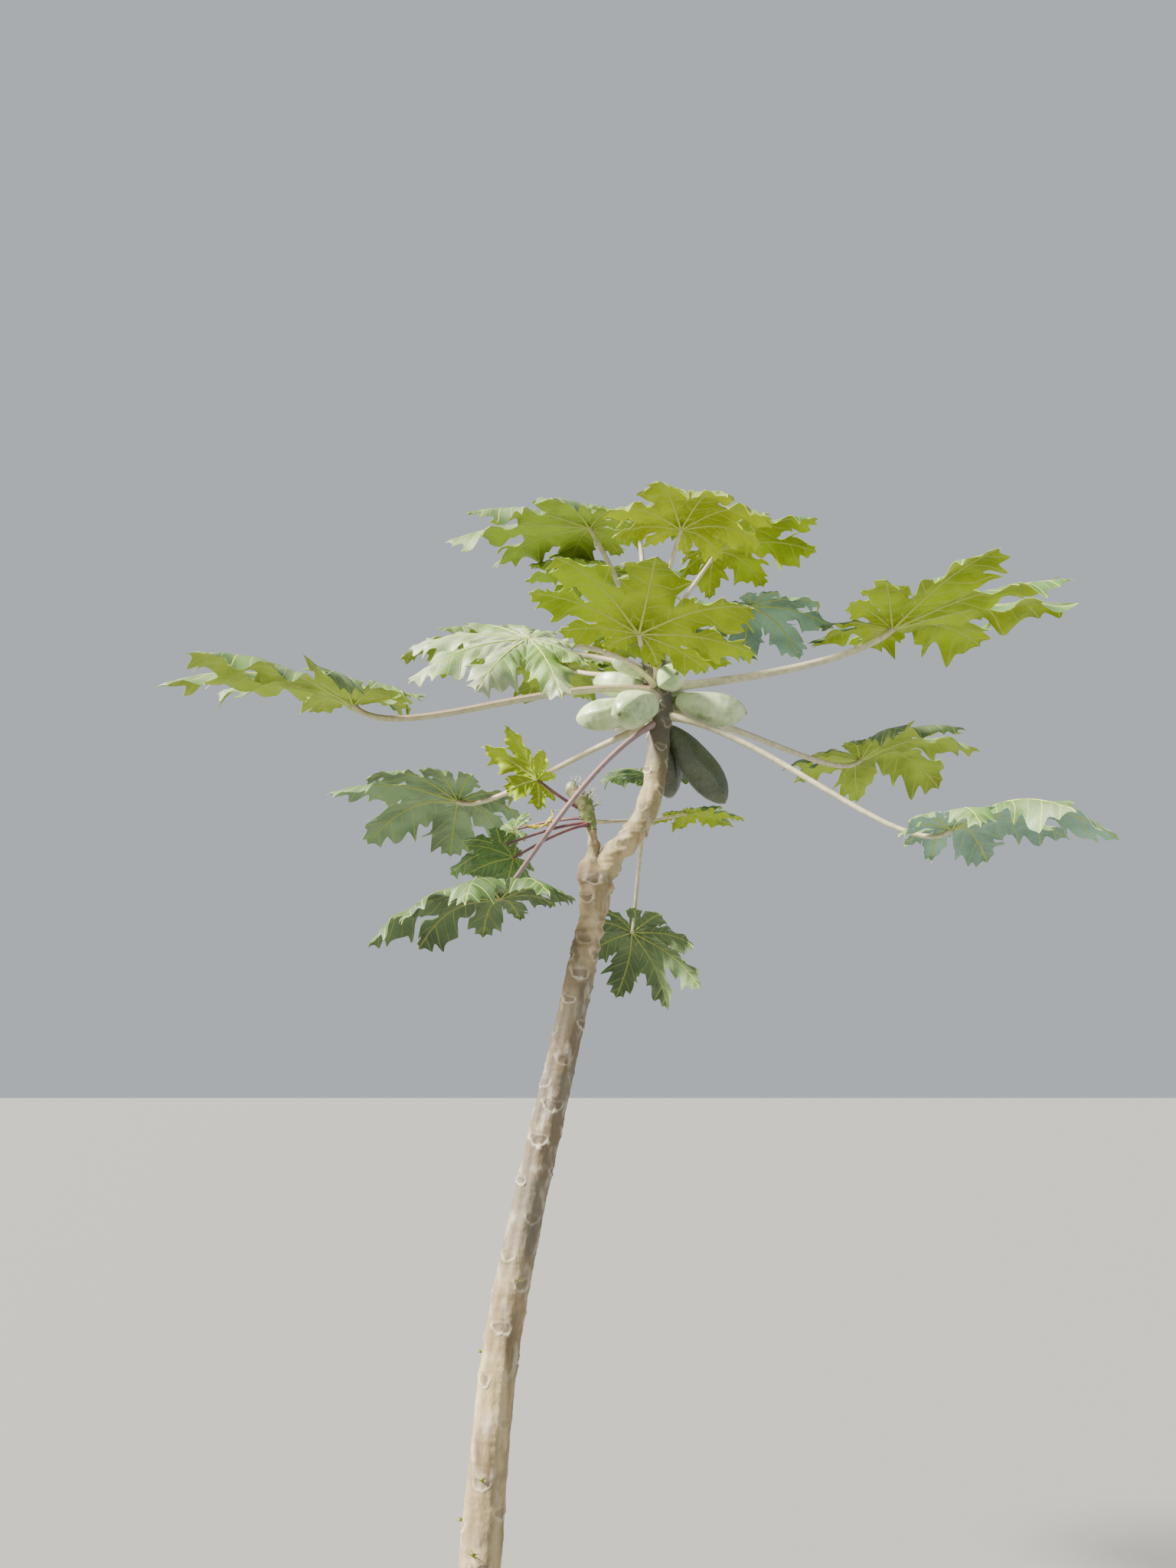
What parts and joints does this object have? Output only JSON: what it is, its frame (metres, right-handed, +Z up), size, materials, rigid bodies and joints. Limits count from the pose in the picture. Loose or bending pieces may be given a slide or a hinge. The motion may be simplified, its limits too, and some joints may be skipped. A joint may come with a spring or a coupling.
{
  "type": "papaya tree",
  "caption": "Young papaya tree: one slim leaning trunk that forks under its crown, a fruiting crown stem with long-stalked lobed leaves, and a short side shoot.",
  "frame": {"origin": "middle of the trunk's flat cut at ground level", "axes": "+Z up, +X to the right and +Y away from the viewer as the picture sees the tree"},
  "size_m": [2.4642, 1.8393, 3.2609],
  "materials": {
    "bark": "pale tan bark, matt, with leaf scars",
    "green_stem": "young green bark, satin",
    "leaf": "soft leaf, satin above and matt below",
    "petiole": "smooth leaf stalk, pale yellow-green with a pink upper side",
    "fruit": "unripe fruit skin, satin with a pale bloom"
  },
  "bodies": {
    "root": {"trunk": "bark", "crown_stem": "bark", "side_shoot": "green_stem", "growing_tip": "leaf", "fruit_left": "fruit", "fruit_front": "fruit", "fruit_small_front": "fruit", "fruit_young_right": "fruit", "fruit_right": "fruit", "fruit_long": "fruit", "fruit_young_left": "fruit", "fruit_back_left": "fruit", "fruit_back_low": "fruit", "fruit_back": "fruit", "fruit_back_right": "fruit", "leaf_left": "leaf", "leaf_front_left": "leaf", "leaf_front": "leaf", "leaf_top_left": "leaf", "leaf_top_right": "leaf", "leaf_right": "leaf", "leaf_back_right": "leaf", "leaf_far_right": "leaf", "leaf_low_right": "leaf", "leaf_far_left": "leaf", "leaf_low_left": "leaf", "leaf_low_back": "leaf", "leaf_back": "leaf", "leaf_back_left": "leaf", "leaf_top_front": "leaf", "leaf_top_back": "leaf", "leaf_mid_left": "leaf", "leaf_high_back": "leaf", "leaf_high_back_left": "leaf", "shoot_leaf_left": "leaf", "shoot_leaf_right": "leaf", "shoot_leaf_upper": "leaf", "shoot_leaf_middle": "leaf", "shoot_leaf_lower": "leaf"}
  },
  "joints": []
}
